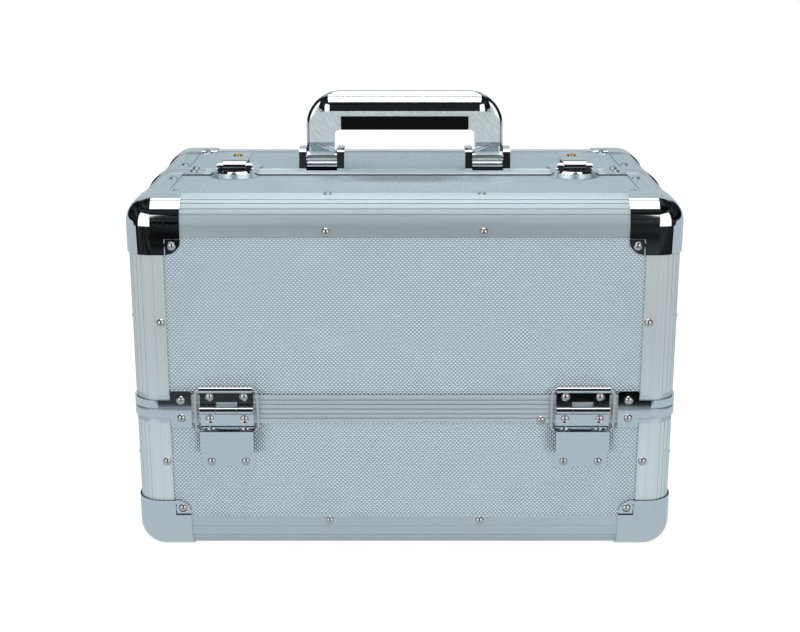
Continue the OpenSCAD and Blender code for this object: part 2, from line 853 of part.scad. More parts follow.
// Side outline of a bracket ear: base hb each side, drafted edges and rounded top corners
module ear_outline(hb) {
  r = 5;
  up = 11;
  draft = 12;
  c = hb - (r + (up - 2) * sin(draft)) / cos(draft);
  polygon([[-hb, 0], [hb, 0], [hb, 2], [c + r * cos(draft), up + r * sin(draft)], [c, up + r],
    [-c, up + r], [-c - r * cos(draft), up + r * sin(draft)], [-hb, 2]]);
  for (s = [-1, 1]) translate([s * c, up]) circle(r);
}

// Side outline of the sloped bar along the front or rear edge of a bracket
bar_outline = [[0, 0], [0, 0.6], [1.2, 3.5], [3, 3.5], [3, 0]];

module handle_bracket() {
  half = bracket_w / 2;
  y0 = seam_y + 0.4;
  y1 = pivot_y + (pivot_y - y0);
  lip = seam_y + gap / 2 + seam_w_rear + 0.1;
  eye = half - 5;
  translate([handle_x, 0, case_h]) difference() {
    union() {
      span([-half, y0 + 0.7, 0], [half, y1 - 0.7, 2]);
      span([-half, lip, -skin], [half, y1, 0.1]);
      for (s = [0, 1]) translate([0, 2 * pivot_y * s, 0]) mirror([0, s, 0]) translate([-half, y0, 0])
        rotate([90, 0, 90]) linear_extrude(bracket_w) polygon(bar_outline);
      for (s = [0, 1]) mirror([s, 0, 0]) translate([eye, pivot_y, 0]) rotate([90, 0, 90])
        linear_extrude(5) ear_outline((y1 - y0) / 2);
    }
    translate([-99, pivot_y, pivot_up]) rotate([0, 90, 0]) cylinder(r = 2.5, h = 198);
  }
}

module handle_brackets() color("#dfe2e5") both_x() handle_bracket();

module handle_pins() color("#c8ccd0") both_x() {
  translate([handle_x, pivot_y, case_h + pivot_up]) rotate([0, 90, 0])
    cylinder(r = 2.5, h = bracket_w, center = true);
}

// Outline of the handle frame: legs, rounded upper corners and the hand opening
module handle_frame(out, top, bend, foot, inn, bar) {
  difference() {
    union() {
      translate([-out, foot]) square([2 * out, top - bend - foot]);
      translate([bend - out, foot]) square([2 * (out - bend), top - foot]);
      for (s = [-1, 1]) translate([s * (out - bend), top - bend]) intersection() {
        circle(bend);
        translate([-bend, -2]) square(2 * bend);
      }
    }
    translate([0, foot]) square([2 * inn, 2 * (bar - 5 - foot)], center = true);
    translate([0, foot]) square([2 * (inn - 5), 2 * (bar - foot)], center = true);
    for (s = [-1, 1]) translate([s * (inn - 5), bar - 5]) circle(5);
  }
}

// Section of the domed back of the hand bar: two flanks that meet under the rail
module dome_section(half) {
  c = (dome_h * dome_h - half * half) / (2 * half);
  intersection() {
    translate([c, 0]) circle(c + half);
    translate([-c, 0]) circle(c + half);
    translate([-half, 0]) square([2 * half, dome_h]);
  }
}

// Space in front of the handle's tapered feet, reaching deeper into the metal by d
module foot_taper(foot, d) {
  f = pivot_y - handle_r + 0.2 + d;
  rotate([90, 0, 90]) linear_extrude(handle_w + 2, center = true)
    polygon([[f - 20, foot - 2], [f + 3, foot - 2], [f + 3, foot], [f, foot + 8],
      [f, foot + 12], [f - 20, foot + 12]]);
}

// Fine crease across the foot of a leg
module leg_crease(foot, inn) {
  intersection() {
    foot_taper(foot, 1);
    rotate([90, 0, 0]) linear_extrude(60, center = true)
      polygon([[handle_w / 2 - 6.5, foot + 7], [handle_w / 2 - 6.5, foot + 8.2],
        [inn - 1, foot + 1.6], [inn - 1, foot + 0.8]]);
  }
}

// Copies on the front and the rear face of the handle
module both_faces() {
  children();
  translate([0, 2 * pivot_y, 0]) mirror([0, 1, 0]) children();
}

module handle_arch() color("#dfe2e5") {
  half = handle_r - 0.2;
  out = handle_w / 2 - rail_r;
  bend = 25;
  foot = case_h + pivot_up + 4.6;
  top = case_h + handle_h - rail_r;
  plate = case_h + handle_h - dome_h - 0.7;
  inn = handle_x - handle_leg / 2 + 1.1;
  bar = case_h + handle_h - 26.5;
  dome_x = handle_w / 2 - 18;
  difference() {
    union() {
      translate([0, pivot_y + half, 0]) rotate([90, 0, 0]) linear_extrude(2 * half)
        handle_frame(handle_w / 2 - 2.5, plate, 10, foot, inn, bar);
      translate([0, pivot_y + rail_r, 0]) rotate([90, 0, 0]) linear_extrude(2 * rail_r)
        handle_frame(out, top, bend - rail_r, foot, inn, bar);
      translate([bend - rail_r - out, pivot_y, top]) rotate([0, 90, 0])
        cylinder(r = rail_r, h = 2 * (out - bend + rail_r));
      translate([-dome_x, pivot_y, plate]) rotate([90, 0, 90]) linear_extrude(2 * dome_x)
        dome_section(half);
      both_x() {
        translate([dome_x, pivot_y, plate]) rotate_extrude() intersection() {
          dome_section(half);
          square(2 * dome_h);
        }
        translate([out, pivot_y, foot]) cylinder(r = rail_r, h = top - bend + rail_r - foot);
        translate([out - bend + rail_r, pivot_y, top - bend + rail_r]) rotate([90, 0, 0])
          rotate_extrude(angle = 90) translate([bend - rail_r, 0]) circle(rail_r);
        span([handle_x - handle_leg / 2, pivot_y - 3, case_h + pivot_up],
          [handle_x + handle_leg / 2, pivot_y + 3, foot + 0.5]);
        translate([handle_x, pivot_y, case_h + pivot_up]) rotate([0, 90, 0])
          cylinder(r = 5.5, h = bracket_w - 10.8, center = true);
      }
    }
    both_x() translate([handle_x, pivot_y, case_h + pivot_up]) rotate([0, 90, 0])
      cylinder(r = 2.5 + run_fit, h = 99, center = true);
    both_faces() {
      foot_taper(foot, 0);
      both_x() leg_crease(foot, inn);
    }
    span([-grip_x, pivot_y - 20, bar - 2], [grip_x, pivot_y + 20, bar + grip_h - 0.4]);
  }
}

module handle_grip() color("#111214") {
  bar = case_h + handle_h - 26.5;
  d = 2 * handle_r + 0.4;
  translate([-grip_x, pivot_y, 0]) rotate([90, 0, 90]) linear_extrude(2 * grip_x) {
    translate([0, bar - 0.4 + grip_h / 2]) square([d - 4, grip_h], center = true);
    translate([0, bar - 0.4 + grip_h / 2 + 1]) square([d, grip_h - 2], center = true);
    for (s = [-1, 1]) translate([s * (d / 2 - 2), bar + 1.6]) circle(2);
  }
}

// ---------- trays and arms, drawn for the front and mirrored for the rear ----------

// Strips with eyes at the base pivot and at both trays
module arm_pair(y) {
  both_x() translate([arm_x, -y, lean_z]) rotate([-arm_lean, 0, 0]) rotate([90, 0, 90])
    linear_extrude(arm_t) difference() {
      union() {
        translate([-arm_w / 2, 0]) square([arm_w, arm_r2]);
        circle(arm_w / 2);
        translate([0, arm_r2]) circle(arm_w / 2);
      }
      for (h = [0, arm_r1, arm_r2]) translate([0, h]) circle(stud_r + run_fit);
    }
}

// Stud on the box liner at the foot of an arm
module pivot_stud(y) {
  translate([0, -y, lean_z]) rotate([0, 90, 0]) {
    translate([0, 0, arm_x + arm_t + 0.2]) cylinder(r = stud_r + 1.5, h = hw - inner - arm_x - arm_t - 0.2);
    translate([0, 0, arm_x - 0.2]) cylinder(r = stud_r, h = arm_t + 0.4);
    translate([0, 0, arm_x - 1.2]) cylinder(r = stud_r + 1.3, h = 1);
  }
}

module base_pivot_studs() color("#b9bdc1") {
  both_x() both_y() {
    pivot_stud(lead_y);
    pivot_stud(trail_y);
  }
}

// Stud moulded on a tray end, r along the arm
module tray_stud(y, r) {
  both_x() translate([0, -y + r * sin(arm_lean), lean_z + r * cos(arm_lean)]) rotate([0, 90, 0]) {
    translate([0, 0, tray_x - 0.5]) cylinder(r = stud_r + 1.5, h = arm_x - tray_x + 0.3);
    translate([0, 0, arm_x - 0.3]) cylinder(r = stud_r, h = arm_t + 0.6);
    translate([0, 0, arm_x + arm_t + 0.2]) cylinder(r = stud_r + 1.3, h = 1);
  }
}

// Open tray with pockets between the walls: cols across, rows front to back
module tray(z0, cols, rows) {
  w = 2 * tray_x;
  d = tray_y0 - tray_y1;
  difference() {
    translate([0, -(tray_y0 + tray_y1) / 2, z0]) linear_extrude(tray_h) rrect(w, d, 4);
    for (j = [0:1:len(rows) - 2]) {
      y0 = -tray_y0 + tray_t + (d - tray_t) * rows[j];
      y1 = -tray_y0 + (d - tray_t) * rows[j + 1];
      n = cols[j];
      for (i = [0:1:n - 1]) {
        x0 = -tray_x + tray_t + (w - tray_t) * i / n;
        x1 = -tray_x + (w - tray_t) * (i + 1) / n;
        span([x0, y0, z0 + tray_t], [x1, y1, z0 + tray_h + 1]);
      }
    }
  }
}

module lower_tray() {
  tray(lift_z, [3], [0, 1]);
  tray_stud(lead_y, arm_r1);
  tray_stud(trail_y, arm_r1);
}

module upper_tray() {
  tray(upper_z, [6, 3], [0, 0.42, 1]);
  tray_stud(lead_y, arm_r2);
  tray_stud(trail_y, arm_r2);
}

module front_lower_tray() color("#3a3b3e") lower_tray();

module front_upper_tray() color("#3a3b3e") upper_tray();

module rear_lower_tray() color("#3a3b3e") mirror([0, 1, 0]) lower_tray();

module rear_upper_tray() color("#3a3b3e") mirror([0, 1, 0]) upper_tray();

module front_lead_arms() color("#c4c8cc") arm_pair(lead_y);

module front_trail_arms() color("#c4c8cc") arm_pair(trail_y);

module rear_lead_arms() color("#c4c8cc") mirror([0, 1, 0]) arm_pair(lead_y);

module rear_trail_arms() color("#c4c8cc") mirror([0, 1, 0]) arm_pair(trail_y);

// ---------- output ----------

base_floor_panel();
base_wall_panels();
base_bottom_rails();
base_posts();
base_rim();
base_liner();
base_corner_caps();
base_brackets();
base_rivets();
base_pop_rivet();
feet();
stay_tongues();
hinge_pins();
base_pivot_studs();
front_wall_panels();
front_top_panel();
front_top_rails();
front_posts();
front_rim();
front_seam_rim();
front_liner();
front_corner_caps();
front_brackets();
front_rivets();
front_hinge_leaves();
latch_plates();
latch_axles();
rear_wall_panels();
rear_top_panel();
rear_top_rails();
rear_posts();
rear_rim();
rear_seam_rim();
rear_liner();
rear_corner_caps();
rear_brackets();
rear_rivets();
rear_hinge_leaves();
latch_locks();
handle_brackets();
handle_pins();
handle_arch();
handle_grip();
latch_hasp_left();
latch_hasp_right();
key_cylinder_left();
key_cylinder_right();
stay_loop_front_left();
stay_loop_front_right();
stay_loop_rear_left();
stay_loop_rear_right();
front_lead_arms();
front_trail_arms();
rear_lead_arms();
rear_trail_arms();
front_lower_tray();
front_upper_tray();
rear_lower_tray();
rear_upper_tray();
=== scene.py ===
"""Aluminium makeup train case: finishes, embossed sheets, fine fittings, studio and camera."""

import math

import bmesh
import bpy
from mathutils import Matrix, Vector


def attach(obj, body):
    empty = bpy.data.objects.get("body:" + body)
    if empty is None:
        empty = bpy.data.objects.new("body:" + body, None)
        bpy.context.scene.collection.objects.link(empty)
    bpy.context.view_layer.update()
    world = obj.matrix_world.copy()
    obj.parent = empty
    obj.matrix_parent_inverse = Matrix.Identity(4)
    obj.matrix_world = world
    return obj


MM = 0.001

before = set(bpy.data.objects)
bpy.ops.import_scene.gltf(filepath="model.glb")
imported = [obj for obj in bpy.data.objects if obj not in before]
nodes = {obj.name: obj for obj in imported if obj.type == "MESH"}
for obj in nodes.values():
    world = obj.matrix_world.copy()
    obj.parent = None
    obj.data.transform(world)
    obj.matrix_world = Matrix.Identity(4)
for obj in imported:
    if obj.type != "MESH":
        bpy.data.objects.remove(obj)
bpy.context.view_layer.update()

# ---------------------------------------------------------------- sizes of the case, metres

X, Y, Z = range(3)


def reach(name, axis):
    """Lowest and highest place of a CAD node along an axis, to a thousandth of a millimetre."""
    places = [v.co[axis] for v in nodes[name].data.vertices]
    return round(min(places), 6), round(max(places), 6)


HALF_W = reach("base_bottom_rails", X)[1]
HALF_D = reach("base_bottom_rails", Y)[1]
LOW_RAIL_FOOT, LOW_RAIL_TOP = reach("base_bottom_rails", Z)
TOP_RAIL_FOOT, TOP = reach("front_top_rails", Z)
LEG = LOW_RAIL_TOP - LOW_RAIL_FOOT  # Leg of a corner extrusion
SKIN = HALF_W - reach("base_wall_panels", X)[1]  # Panels lie this far under the frame
BOX_RIM_FOOT = reach("base_rim", Z)[0]
LID_RIM_TOP = reach("front_rim", Z)[1]
FRONT_SEAM_EDGE = reach("front_seam_rim", Y)[0]
REAR_SEAM_EDGE = reach("rear_seam_rim", Y)[1]
HANDLE_FRONT, HANDLE_REAR = reach("handle_arch", Y)
HANDLE_MID = (HANDLE_FRONT + HANDLE_REAR) / 2

LEG_FOOT = 260.6 * MM  # Foot of the flat faces of the handle's legs
TAPER_DEPTH = 3.0 * MM  # How far each leg draws in toward its foot
TAPER_HEIGHT = 8.0 * MM
TAPER = math.atan2(TAPER_DEPTH, TAPER_HEIGHT)


# ---------------------------------------------------------------- colours and nodes


def linear(hex_colour):
    """Turns an sRGB hex colour to the linear RGBA that shaders take."""
    out = []
    for i in (1, 3, 5):
        c = int(hex_colour[i : i + 2], 16) / 255
        out.append(c / 12.92 if c <= 0.04045 else ((c + 0.055) / 1.055) ** 2.4)
    return (*out, 1.0)


def add(tree, kind, inputs=None, stops=(), **settings):
    """Adds a node with its settings and ramp stops, and sets or links each input."""
    node = tree.nodes.new(kind)
    for key, value in settings.items():
        setattr(node, key, value)
    for key, value in (inputs or {}).items():
        if isinstance(value, bpy.types.Node):
            value = value.outputs[0]
        if isinstance(value, bpy.types.NodeSocket):
            tree.links.new(value, node.inputs[key])
        else:
            node.inputs[key].default_value = value
    for _ in stops[2:]:
        node.color_ramp.elements.new(0.5)
    for i, (place, colour) in enumerate(stops):
        node.color_ramp.elements[i].position = place
        node.color_ramp.elements[i].color = linear(colour)
    return node


def spaced(size_mm):
    """Scale of a pattern whose marks lie this many millimetres apart."""
    return 1 / (size_mm * MM)


def new_material(name):
    """An empty material, its node tree and the Object coordinates of what wears it."""
    mat = bpy.data.materials.new(name)
    mat.use_nodes = True
    mat.node_tree.nodes.clear()
    coords = add(mat.node_tree, "ShaderNodeTexCoord")
    return mat, mat.node_tree, coords


# ---------------------------------------------------------------- materials
# A Mix node's sockets go by number: 0 is the factor, 2 and 3 are numbers, 6 and 7 colours,
# and its output 2 is the mixed colour.

# Grains, cells and die lines are all drawn coarser than real, so that they show
FILM_GRAIN = spaced(0.55)
PLATE_GRAIN = spaced(1.1)
CAST_GRAIN = spaced(0.7)
BRASS_GRAIN = spaced(0.4)
FOAM_CELL = spaced(0.7)
DIE_LINE = spaced(0.7)
DIE_RUN = spaced(250)  # Along the die lines of a straight profile
RING_RUN = spaced(167)  # Along the die lines of a rim, which has four sides
FILM_CLOUD = spaced(28.6)  # Slow drift of tone over a panel
FOAM_CLOUD = spaced(50)
PRESS_WAVE = spaced(18.2)  # Waviness of pressed sheet metal


def embossed_sheet():
    """Silver film on sheet, rolled with small pyramids. Bright flanks, valleys darkened with
    painted shade.
    """
    mat, tree, coords = new_material("embossed_silver_sheet")
    place = coords.outputs["Object"]
    cloud = add(
        tree, "ShaderNodeTexNoise", {"Vector": place, "Scale": FILM_CLOUD, "Detail": 3.0}
    )
    grain = add(tree, "ShaderNodeTexNoise", {"Vector": place, "Scale": FILM_GRAIN})
    rise = add(tree, "ShaderNodeAttribute", attribute_name="rise").outputs["Fac"]
    drift = add(
        tree, "ShaderNodeMapRange", {"Value": cloud, "To Min": -0.06, "To Max": 0.06}
    )
    # Painted shade: the tone darkens from the pyramid tops into the valleys, and drifts slowly
    # at random
    valley_shade_and_drift = add(tree, "ShaderNodeMath", {0: rise, 1: drift}, operation="ADD")
    tone = add(
        tree,
        "ShaderNodeValToRGB",
        {"Fac": valley_shade_and_drift},
        stops=[(0.0, "#7c8b92"), (0.3, "#bccacf"), (1.0, "#ccd8dc")],
    )
    rough = add(tree, "ShaderNodeMapRange", {"Value": grain, "To Min": 0.2, "To Max": 0.3})
    bump = add(tree, "ShaderNodeBump", {"Height": grain, "Distance": 0.01 * MM})
    shader = add(
        tree,
        "ShaderNodeBsdfPrincipled",
        {"Base Color": tone, "Metallic": 0.62, "Roughness": rough, "Normal": bump},
    )
    add(tree, "ShaderNodeOutputMaterial", {"Surface": shader})
    return mat


def drawn_along(tree, coords, run):
    """Direction that a profile was drawn in, and die lines that follow it.

    run is x_and_y for level rails, z for posts, level_ring or upright_ring for rims.
    """
    place = coords.outputs["Object"]
    along = {
        "z": (DIE_LINE, DIE_LINE, DIE_RUN),
        "x_and_y": (DIE_RUN, DIE_LINE, DIE_LINE),
        "upright_ring": (RING_RUN, DIE_LINE, RING_RUN),
        "level_ring": (RING_RUN, RING_RUN, DIE_LINE),
    }[run]
    pulled = add(tree, "ShaderNodeMapping", {"Vector": place, "Scale": along})
    lines = add(tree, "ShaderNodeTexNoise", {"Vector": pulled, "Scale": 1.0})
    if run == "z":
        return (0.0, 0.0, 1.0), lines
    if run == "x_and_y":
        spot = add(tree, "ShaderNodeSeparateXYZ", {"Vector": place})
        depth = add(tree, "ShaderNodeMath", {0: spot.outputs[Y]}, operation="ABSOLUTE")
        # The side rails lie between the front and rear ones
        side = add(
            tree, "ShaderNodeMath", {0: depth, 1: HALF_D - LEG}, operation="LESS_THAN"
        )
        pulled_y = add(
            tree,
            "ShaderNodeMapping",
            {"Vector": place, "Scale": (DIE_LINE, DIE_RUN, DIE_LINE)},
        )
        lines_y = add(tree, "ShaderNodeTexNoise", {"Vector": pulled_y, "Scale": 1.0})
        both = add(tree, "ShaderNodeMix", {0: side, 2: lines, 3: lines_y})
        front = add(tree, "ShaderNodeMath", {0: 1.0, 1: side}, operation="SUBTRACT")
        return add(tree, "ShaderNodeCombineXYZ", {"X": front, "Y": side}).outputs[0], both
    axle = (0.0, 1.0, 0.0) if run == "upright_ring" else (0.0, 0.0, 1.0)
    way = add(
        tree,
        "ShaderNodeVectorMath",
        {0: axle, 1: coords.outputs["Normal"]},
        operation="CROSS_PRODUCT",
    )
    return way.outputs[0], lines


def anodised(name, run, dark, light, metallic):
    """Extruded, clear anodised aluminium. Satin, its glints drawn out across the die lines."""
    mat, tree, coords = new_material(name)
    way, lines = drawn_along(tree, coords, run)
    tangent = add(
        tree,
        "ShaderNodeVectorTransform",
        {"Vector": way},
        vector_type="VECTOR",
        convert_from="OBJECT",
        convert_to="WORLD",
    )
    tone = add(
        tree, "ShaderNodeValToRGB", {"Fac": lines}, stops=[(0.3, dark), (0.7, light)]
    )
    rough = add(tree, "ShaderNodeMapRange", {"Value": lines, "To Min": 0.44, "To Max": 0.52})
    bump = add(tree, "ShaderNodeBump", {"Height": lines, "Distance": 0.008 * MM})
    shader = add(
        tree,
        "ShaderNodeBsdfPrincipled",
        {
            "Base Color": tone,
            "Metallic": metallic,
            "Roughness": rough,
            "Anisotropic": 0.9,
            "Anisotropic Rotation": 0.25,
            "Tangent": tangent,
            "Normal": bump,
        },
    )
    add(tree, "ShaderNodeOutputMaterial", {"Surface": shader})
    return mat


LOOKS_UP = 0.4  # A face looks up when its normal has more than this of Z


def bright_plate(name, dark, light, rough_low, rough_high, wave, ledge_shade=None):
    """Bright nickel or chrome plate. A mirror, made slightly wavy by the press.

    wave is how deep it waves, in millimetres. The ledge colour is painted shade, put on the
    faces that look up, where a narrow step lies in shadow.
    """
    mat, tree, coords = new_material(name)
    place = coords.outputs["Object"]
    slow = add(
        tree, "ShaderNodeTexNoise", {"Vector": place, "Scale": PRESS_WAVE, "Detail": 1.0}
    )
    fine = add(tree, "ShaderNodeTexNoise", {"Vector": place, "Scale": PLATE_GRAIN})
    tone = add(
        tree, "ShaderNodeValToRGB", {"Fac": fine}, stops=[(0.2, dark), (0.8, light)]
    )
    # Painted shade: the faces that look up take the near-black ledge colour
    if ledge_shade:
        facing = add(tree, "ShaderNodeSeparateXYZ", {"Vector": coords.outputs["Normal"]})
        up = add(
            tree,
            "ShaderNodeMath",
            {0: facing.outputs[Z], 1: LOOKS_UP},
            operation="GREATER_THAN",
        )
        shaded_tone = add(
            tree, "ShaderNodeMix", {0: up, 6: tone, 7: linear(ledge_shade)}, data_type="RGBA"
        )
        tone = shaded_tone.outputs[2]
    rough = add(
        tree, "ShaderNodeMapRange", {"Value": fine, "To Min": rough_low, "To Max": rough_high}
    )
    bump = add(tree, "ShaderNodeBump", {"Height": slow, "Distance": wave * MM})
    shader = add(
        tree,
        "ShaderNodeBsdfPrincipled",
        {"Base Color": tone, "Metallic": 1.0, "Roughness": rough, "Normal": bump},
    )
    add(tree, "ShaderNodeOutputMaterial", {"Surface": shader})
    return mat


DULL_AND_SHADED_ABOVE = TOP - 1.0 * MM  # Rivet heads above this height are rougher and darkened with painted shade


def nickel_rivets():
    """Bright nickel rivets. Small sharp glints; heads on the lid tops are rougher, with painted
    shade.
    """
    mat, tree, coords = new_material("nickel_plated_rivets")
    place = coords.outputs["Object"]
    spot = add(tree, "ShaderNodeSeparateXYZ", {"Vector": place})
    top = add(
        tree, "ShaderNodeMath", {0: spot.outputs[Z], 1: DULL_AND_SHADED_ABOVE}, operation="GREATER_THAN"
    )
    fine = add(tree, "ShaderNodeTexNoise", {"Vector": place, "Scale": PLATE_GRAIN})
    bright = add(
        tree, "ShaderNodeValToRGB", {"Fac": fine}, stops=[(0.2, "#cfcccb"), (0.8, "#dddbda")]
    )
    # Painted shade: the heads on the lid tops take this darker colour
    dull_and_shaded = add(
        tree, "ShaderNodeValToRGB", {"Fac": fine}, stops=[(0.2, "#a3abae"), (0.8, "#b4bbbe")]
    )
    tone = add(tree, "ShaderNodeMix", {0: top, 6: bright, 7: dull_and_shaded}, data_type="RGBA")
    glint = add(tree, "ShaderNodeMapRange", {"Value": fine, "To Min": 0.16, "To Max": 0.24})
    rough = add(tree, "ShaderNodeMix", {0: top, 2: glint, 3: 0.5})
    bump = add(tree, "ShaderNodeBump", {"Height": fine, "Distance": 0.005 * MM})
    shader = add(
        tree,
        "ShaderNodeBsdfPrincipled",
        {"Base Color": tone.outputs[2], "Metallic": 1.0, "Roughness": rough, "Normal": bump},
    )
    add(tree, "ShaderNodeOutputMaterial", {"Surface": shader})
    return mat


LOOKS_AHEAD = 0.9985  # A face is flat when its normal has more than this of Y
STROKE = (7.0 * MM, 3.0 * MM, 1.1 * MM)  # A stroke of the polishing wheel, seen from the front
STROKE_LEAN = 0.87  # Radians from level


def plated_casting():
    """Die-cast zinc, plated. Rounded edges are bright, flat faces keep a satin skin."""
    mat, tree, coords = new_material("plated_zinc_casting")
    place = coords.outputs["Object"]
    facing = add(tree, "ShaderNodeSeparateXYZ", {"Vector": coords.outputs["Normal"]})
    toward = add(tree, "ShaderNodeMath", {0: facing.outputs[Y]}, operation="ABSOLUTE")
    flat = add(tree, "ShaderNodeMath", {0: toward, 1: LOOKS_AHEAD}, operation="GREATER_THAN")
    stroke = add(
        tree,
        "ShaderNodeMapping",
        {"Vector": place, "Rotation": (0.0, STROKE_LEAN, 0.0), "Scale": STROKE},
        vector_type="TEXTURE",
    )
    swirl = add(
        tree,
        "ShaderNodeTexNoise",
        {"Vector": stroke, "Scale": 1.0, "Detail": 4.0, "Distortion": 0.5},
    )
    grain = add(tree, "ShaderNodeTexNoise", {"Vector": place, "Scale": CAST_GRAIN})
    bright = add(
        tree, "ShaderNodeValToRGB", {"Fac": swirl}, stops=[(0.3, "#dde3e6"), (0.7, "#eaeff2")]
    )
    dull_and_shaded = add(
        tree, "ShaderNodeValToRGB", {"Fac": swirl}, stops=[(0.35, "#c3cccf"), (0.65, "#dbe3e5")]
    )
    tone = add(tree, "ShaderNodeMix", {0: flat, 6: bright, 7: dull_and_shaded}, data_type="RGBA")
    satin = add(tree, "ShaderNodeMapRange", {"Value": swirl, "To Min": 0.3, "To Max": 0.5})
    spot = add(tree, "ShaderNodeSeparateXYZ", {"Vector": place})
    foot = add(tree, "ShaderNodeMath", {0: spot.outputs[Z], 1: LEG_FOOT}, operation="LESS_THAN")
    shine = add(tree, "ShaderNodeMapRange", {"Value": foot, "To Min": 0.06, "To Max": 0.28})
    rough = add(tree, "ShaderNodeMix", {0: flat, 2: shine, 3: satin})
    metallic = add(tree, "ShaderNodeMapRange", {"Value": flat, "To Min": 1.0, "To Max": 0.45})
    height = add(tree, "ShaderNodeMix", {0: 0.4, 2: swirl, 3: grain})
    bump = add(tree, "ShaderNodeBump", {"Height": height, "Distance": 0.02 * MM})
    shader = add(
        tree,
        "ShaderNodeBsdfPrincipled",
        {
            "Base Color": tone.outputs[2],
            "Metallic": metallic,
            "Roughness": rough,
            "Normal": bump,
        },
    )
    add(tree, "ShaderNodeOutputMaterial", {"Surface": shader})
    return mat


def foam_liner():
    """Black EVA foam liner. Matt, fine closed-cell grain."""
    mat, tree, coords = new_material("black_eva_foam_liner")
    place = coords.outputs["Object"]
    grain = add(
        tree, "ShaderNodeTexNoise", {"Vector": place, "Scale": FOAM_CELL, "Detail": 3.0}
    )
    cloud = add(tree, "ShaderNodeTexNoise", {"Vector": place, "Scale": FOAM_CLOUD})
    tone = add(
        tree, "ShaderNodeValToRGB", {"Fac": cloud}, stops=[(0.3, "#1b1b1d"), (0.7, "#262628")]
    )
    rough = add(tree, "ShaderNodeMapRange", {"Value": grain, "To Min": 0.75, "To Max": 0.95})
    bump = add(tree, "ShaderNodeBump", {"Height": grain, "Distance": 0.12 * MM})
    shader = add(
        tree,
        "ShaderNodeBsdfPrincipled",
        {"Base Color": tone, "Roughness": rough, "Normal": bump},
    )
    add(tree, "ShaderNodeOutputMaterial", {"Surface": shader})
    return mat


def grained_skin(name, dark, light, mean_rough, grain_mm, depth, specular=0.5):
    """Moulded plastic or rubber, or pressed board. Broad highlights on an even grain.

    grain_mm is the size of the grain and depth is how deep it goes, both in millimetres.
    """
    mat, tree, coords = new_material(name)
    grain = add(
        tree,
        "ShaderNodeTexNoise",
        {"Vector": coords.outputs["Object"], "Scale": spaced(grain_mm), "Detail": 3.0},
    )
    tone = add(
        tree, "ShaderNodeValToRGB", {"Fac": grain}, stops=[(0.3, dark), (0.7, light)]
    )
    rough = add(
        tree,
        "ShaderNodeMapRange",
        {"Value": grain, "To Min": mean_rough - 0.06, "To Max": mean_rough + 0.08},
    )
    bump = add(tree, "ShaderNodeBump", {"Height": grain, "Distance": depth * MM})
    shader = add(
        tree,
        "ShaderNodeBsdfPrincipled",
        {
            "Base Color": tone,
            "Roughness": rough,
            "Normal": bump,
            "Specular IOR Level": specular,
        },
    )
    add(tree, "ShaderNodeOutputMaterial", {"Surface": shader})
    return mat


def turned_brass():
    """Turned brass lock cylinder. Warm, a little worn, with a fine uneven grain."""
    mat, tree, coords = new_material("turned_brass")
    fine = add(
        tree,
        "ShaderNodeTexNoise",
        {"Vector": coords.outputs["Object"], "Scale": BRASS_GRAIN},
    )
    tone = add(
        tree, "ShaderNodeValToRGB", {"Fac": fine}, stops=[(0.3, "#d9a92c"), (0.7, "#efc650")]
    )
    rough = add(tree, "ShaderNodeMapRange", {"Value": fine, "To Min": 0.18, "To Max": 0.3})
    bump = add(tree, "ShaderNodeBump", {"Height": fine, "Distance": 0.01 * MM})
    shader = add(
        tree,
        "ShaderNodeBsdfPrincipled",
        {"Base Color": tone, "Metallic": 1.0, "Roughness": rough, "Normal": bump},
    )
    add(tree, "ShaderNodeOutputMaterial", {"Surface": shader})
    return mat


SHEET = embossed_sheet()

# Satin, from grey rails to nearly white posts: lit and shaded copies of one aluminium, painted
# light
RAIL = anodised("anodised_rails", "x_and_y", "#bccacf", "#cbd8dc", 0.7)
LOW_RAIL = anodised("anodised_base_rails", "x_and_y", "#cddade", "#dde9ed", 0.7)
POST = anodised("anodised_posts", "z", "#dfe8ea", "#edf3f5", 0.58)
RIM_BAND = anodised("anodised_level_rims", "level_ring", "#cbd7dc", "#d8e3e7", 0.6)
SEAM_BAND = anodised("anodised_seam_rims", "upright_ring", "#c6d3d8", "#d3dfe3", 0.62)

# Mirrors: chrome cool and sharp, wire warmer and a little blurred, knurled zinc grey
CHROME_SKIN = ("#e3e8ec", "#eef1f4", 0.03, 0.06, 0.012)
CHROME = bright_plate("chrome_plated_fittings", *CHROME_SKIN)
# The bottom caps are this chrome with painted shade, near black, on their up-facing ledges
LOW_CAP = bright_plate("chrome_plated_bottom_caps", *CHROME_SKIN, ledge_shade="#0b0d10")
WIRE = bright_plate("nickel_plated_wire", "#d7d3d0", "#e6e3e1", 0.07, 0.15, 0.0)
KNURL_METAL = bright_plate("knurled_zinc", "#8b9498", "#a9b2b5", 0.2, 0.3, 0.0)
RIVET = nickel_rivets()
CASTING = plated_casting()
BRASS = turned_brass()

# Charcoal trays with a soft sheen, a dull grip that is nearly black, matt black feet, grey board
LINER = foam_liner()
TRAY = grained_skin("black_abs_trays", "#202124", "#2a2b2e", 0.42, 0.5, 0.05)
GRIP = grained_skin("black_pvc_grip", "#020304", "#050607", 0.6, 0.4, 0.04, 0.12)
RUBBER = grained_skin("black_rubber_feet", "#131313", "#1d1d1d", 0.7, 0.6, 0.06)
CORE = grained_skin("fibreboard_core", "#8f9aa0", "#a3adb2", 0.6, 0.8, 0.05)

